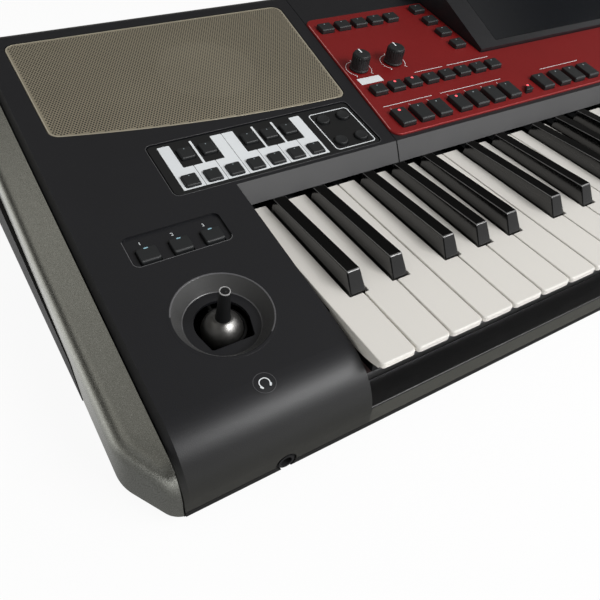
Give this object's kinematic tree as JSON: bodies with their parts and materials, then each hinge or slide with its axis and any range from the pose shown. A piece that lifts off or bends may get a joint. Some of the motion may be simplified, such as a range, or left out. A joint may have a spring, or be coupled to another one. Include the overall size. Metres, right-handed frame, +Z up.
{
  "type": "arranger keyboard",
  "caption": "Black arranger keyboard with a tilted deck, a red control panel, champagne speaker grilles, a joystick and grey end caps.",
  "frame": {"origin": "floor under the feet, at the middle of the case's plan", "axes": "+X to the treble end, +Y to the rear, +Z up"},
  "size_m": [1.0334, 0.378, 0.1274],
  "materials": {
    "shell_black": "satin moulded black with a fine texture",
    "cap_grey": "grey metallic paint with a fine speckle",
    "panel_red": "red metallic paint, satin",
    "grille_champagne": "perforated champagne metal",
    "key_white": "polished ivory white",
    "key_black": "polished black",
    "button_charcoal": "moulded charcoal",
    "pad_dark": "satin charcoal",
    "chrome_dark": "dark polished metal",
    "screen_glass": "dark glass over a display",
    "bottom_black": "plain moulded black",
    "steel": "zinc-plated sheet steel",
    "felt": "dark wool felt",
    "contact_rubber": "grey silicone",
    "foot_rubber": "black rubber",
    "board_green": "solder-masked board",
    "speaker_black": "pressed paper cone and steel basket",
    "socket_black": "moulded black"
  },
  "bodies": {
    "case": {"amplifier_board": "board_green", "bottom_case": "bottom_black", "case_screws": "steel", "centre_frame": "shell_black", "contact_board": "board_green", "contact_strip": "contact_rubber", "control_panel": "panel_red", "display_bezel": "shell_black", "display_screen": "screen_glass", "front_rail": "shell_black", "headphone_jack": "socket_black", "joystick_cup": "pad_dark", "key_chassis": "steel", "left_end_cap": "cap_grey", "left_grille": "grille_champagne", "left_shell": "shell_black", "left_speaker": "speaker_black", "main_board": "board_green", "mains_inlet": "socket_black", "panel_boards": "board_green", "pivot_rod": "steel", "power_supply": "board_green", "rear_panel": "bottom_black", "rear_sockets": "socket_black", "right_end_cap": "cap_grey", "right_grille": "grille_champagne", "right_shell": "shell_black", "right_speaker": "speaker_black", "rubber_feet": "foot_rubber", "scale_pad": "pad_dark", "stop_felt": "felt"},
    "white_key_c": {"white_key_c": "key_white"},
    "black_key_c_sharp": {"black_key_c_sharp": "key_black"},
    "white_key_d": {"white_key_d": "key_white"},
    "black_key_d_sharp": {"black_key_d_sharp": "key_black"},
    "white_key_e": {"white_key_e": "key_white"},
    "white_key_f": {"white_key_f": "key_white"},
    "black_key_f_sharp": {"black_key_f_sharp": "key_black"},
    "white_key_g": {"white_key_g": "key_white"},
    "black_key_g_sharp": {"black_key_g_sharp": "key_black"},
    "white_key_a": {"white_key_a": "key_white"},
    "black_key_a_sharp": {"black_key_a_sharp": "key_black"},
    "white_key_b": {"white_key_b": "key_white"},
    "white_keys_second_octave": {"white_keys_second_octave": "key_white"},
    "black_keys_second_octave": {"black_keys_second_octave": "key_black"},
    "white_keys_upper_octaves": {"white_keys_upper_octaves": "key_white"},
    "black_keys_upper_octaves": {"black_keys_upper_octaves": "key_black"},
    "assign_switch_1": {"assign_switch_1": "button_charcoal"},
    "assign_switch_2": {"assign_switch_2": "button_charcoal"},
    "assign_switch_3": {"assign_switch_3": "button_charcoal"},
    "preset_buttons": {"preset_buttons": "button_charcoal"},
    "note_buttons": {"note_buttons": "button_charcoal"},
    "lower_row_buttons": {"lower_row_buttons": "button_charcoal"},
    "upper_row_buttons": {"upper_row_buttons": "button_charcoal"},
    "joystick_gimbal": {"joystick_gimbal": "steel"},
    "joystick_lever": {"joystick_lever": "chrome_dark"},
    "control_knob_1": {"control_knob_1": "button_charcoal"},
    "control_knob_2": {"control_knob_2": "button_charcoal"},
    "value_dial": {"value_dial": "button_charcoal"},
    "power_button": {"power_button": "button_charcoal"}
  },
  "joints": [
    {"name": "white_key_c_dip", "type": "hinge", "parent": "case", "child": "white_key_c", "pos_m": [0, 0.023, 0.0435], "axis": [1, 0, 0], "range_deg": [0, 2.72], "stiffness_Nm_per_rad": 0.6, "springref_deg": -14.32},
    {"name": "black_key_c_sharp_dip", "type": "hinge", "parent": "case", "child": "black_key_c_sharp", "pos_m": [0, 0.023, 0.0435], "axis": [1, 0, 0], "range_deg": [0, 2.72], "stiffness_Nm_per_rad": 0.6, "springref_deg": -14.32},
    {"name": "white_key_d_dip", "type": "hinge", "parent": "case", "child": "white_key_d", "pos_m": [0, 0.023, 0.0435], "axis": [1, 0, 0], "range_deg": [0, 2.72], "stiffness_Nm_per_rad": 0.6, "springref_deg": -14.32},
    {"name": "black_key_d_sharp_dip", "type": "hinge", "parent": "case", "child": "black_key_d_sharp", "pos_m": [0, 0.023, 0.0435], "axis": [1, 0, 0], "range_deg": [0, 2.72], "stiffness_Nm_per_rad": 0.6, "springref_deg": -14.32},
    {"name": "white_key_e_dip", "type": "hinge", "parent": "case", "child": "white_key_e", "pos_m": [0, 0.023, 0.0435], "axis": [1, 0, 0], "range_deg": [0, 2.72], "stiffness_Nm_per_rad": 0.6, "springref_deg": -14.32},
    {"name": "white_key_f_dip", "type": "hinge", "parent": "case", "child": "white_key_f", "pos_m": [0, 0.023, 0.0435], "axis": [1, 0, 0], "range_deg": [0, 2.72], "stiffness_Nm_per_rad": 0.6, "springref_deg": -14.32},
    {"name": "black_key_f_sharp_dip", "type": "hinge", "parent": "case", "child": "black_key_f_sharp", "pos_m": [0, 0.023, 0.0435], "axis": [1, 0, 0], "range_deg": [0, 2.72], "stiffness_Nm_per_rad": 0.6, "springref_deg": -14.32},
    {"name": "white_key_g_dip", "type": "hinge", "parent": "case", "child": "white_key_g", "pos_m": [0, 0.023, 0.0435], "axis": [1, 0, 0], "range_deg": [0, 2.72], "stiffness_Nm_per_rad": 0.6, "springref_deg": -14.32},
    {"name": "black_key_g_sharp_dip", "type": "hinge", "parent": "case", "child": "black_key_g_sharp", "pos_m": [0, 0.023, 0.0435], "axis": [1, 0, 0], "range_deg": [0, 2.72], "stiffness_Nm_per_rad": 0.6, "springref_deg": -14.32},
    {"name": "white_key_a_dip", "type": "hinge", "parent": "case", "child": "white_key_a", "pos_m": [0, 0.023, 0.0435], "axis": [1, 0, 0], "range_deg": [0, 2.72], "stiffness_Nm_per_rad": 0.6, "springref_deg": -14.32},
    {"name": "black_key_a_sharp_dip", "type": "hinge", "parent": "case", "child": "black_key_a_sharp", "pos_m": [0, 0.023, 0.0435], "axis": [1, 0, 0], "range_deg": [0, 2.72], "stiffness_Nm_per_rad": 0.6, "springref_deg": -14.32},
    {"name": "white_key_b_dip", "type": "hinge", "parent": "case", "child": "white_key_b", "pos_m": [0, 0.023, 0.0435], "axis": [1, 0, 0], "range_deg": [0, 2.72], "stiffness_Nm_per_rad": 0.6, "springref_deg": -14.32},
    {"name": "white_keys_second_octave_dip", "type": "hinge", "parent": "case", "child": "white_keys_second_octave", "pos_m": [0, 0.023, 0.0435], "axis": [1, 0, 0], "range_deg": [0, 2.72], "stiffness_Nm_per_rad": 4.2, "springref_deg": -14.32},
    {"name": "black_keys_second_octave_dip", "type": "hinge", "parent": "case", "child": "black_keys_second_octave", "pos_m": [0, 0.023, 0.0435], "axis": [1, 0, 0], "range_deg": [0, 2.72], "stiffness_Nm_per_rad": 3, "springref_deg": -14.32},
    {"name": "white_keys_upper_octaves_dip", "type": "hinge", "parent": "case", "child": "white_keys_upper_octaves", "pos_m": [0, 0.023, 0.0435], "axis": [1, 0, 0], "range_deg": [0, 2.72], "stiffness_Nm_per_rad": 13.2, "springref_deg": -14.32},
    {"name": "black_keys_upper_octaves_dip", "type": "hinge", "parent": "case", "child": "black_keys_upper_octaves", "pos_m": [0, 0.023, 0.0435], "axis": [1, 0, 0], "range_deg": [0, 2.72], "stiffness_Nm_per_rad": 9, "springref_deg": -14.32},
    {"name": "assign_switch_1_press", "type": "slide", "parent": "case", "child": "assign_switch_1", "axis": [0, 0.1464, -0.9892], "range_m": [0, 0.0008], "stiffness_N_per_m": 150, "springref_m": -0.002},
    {"name": "assign_switch_2_press", "type": "slide", "parent": "case", "child": "assign_switch_2", "axis": [0, 0.1464, -0.9892], "range_m": [0, 0.0008], "stiffness_N_per_m": 150, "springref_m": -0.002},
    {"name": "assign_switch_3_press", "type": "slide", "parent": "case", "child": "assign_switch_3", "axis": [0, 0.1464, -0.9892], "range_m": [0, 0.0008], "stiffness_N_per_m": 150, "springref_m": -0.002},
    {"name": "preset_buttons_press", "type": "slide", "parent": "case", "child": "preset_buttons", "axis": [0, 0.1464, -0.9892], "range_m": [0, 0.001], "stiffness_N_per_m": 300, "springref_m": -0.002},
    {"name": "note_buttons_press", "type": "slide", "parent": "case", "child": "note_buttons", "axis": [0, 0.1464, -0.9892], "range_m": [0, 0.001], "stiffness_N_per_m": 400, "springref_m": -0.003},
    {"name": "lower_row_buttons_press", "type": "slide", "parent": "case", "child": "lower_row_buttons", "axis": [0, 0.1464, -0.9892], "range_m": [0, 0.0012], "stiffness_N_per_m": 900, "springref_m": -0.003},
    {"name": "upper_row_buttons_press", "type": "slide", "parent": "case", "child": "upper_row_buttons", "axis": [0, 0.1464, -0.9892], "range_m": [0, 0.0012], "stiffness_N_per_m": 900, "springref_m": -0.003},
    {"name": "joystick_sideways", "type": "hinge", "parent": "case", "child": "joystick_gimbal", "pos_m": [-0.435, -0.11633, 0.0413], "axis": [0, 0.9892, 0.1464], "range_deg": [-12, 12], "stiffness_Nm_per_rad": 0.12},
    {"name": "joystick_fore_aft", "type": "hinge", "parent": "joystick_gimbal", "child": "joystick_lever", "pos_m": [-0.435, -0.11633, 0.0413], "axis": [1, 0, 0], "range_deg": [-12, 12], "stiffness_Nm_per_rad": 0.12},
    {"name": "control_knob_1_turn", "type": "hinge", "parent": "case", "child": "control_knob_1", "pos_m": [-0.2305, 0.05264, 0.08653], "axis": [0, -0.1464, 0.9892], "range_deg": [-150, 150]},
    {"name": "control_knob_2_turn", "type": "hinge", "parent": "case", "child": "control_knob_2", "pos_m": [-0.1965, 0.05264, 0.08653], "axis": [0, -0.1464, 0.9892], "range_deg": [-150, 150]},
    {"name": "value_dial_turn", "type": "hinge", "parent": "case", "child": "value_dial", "pos_m": [0.211, 0.0655, 0.08843], "axis": [0, -0.1464, 0.9892], "continuous": true},
    {"name": "power_button_press", "type": "slide", "parent": "case", "child": "power_button", "axis": [0, -1, 0], "range_m": [0, 0.002], "stiffness_N_per_m": 300, "springref_m": -0.002}
  ]
}
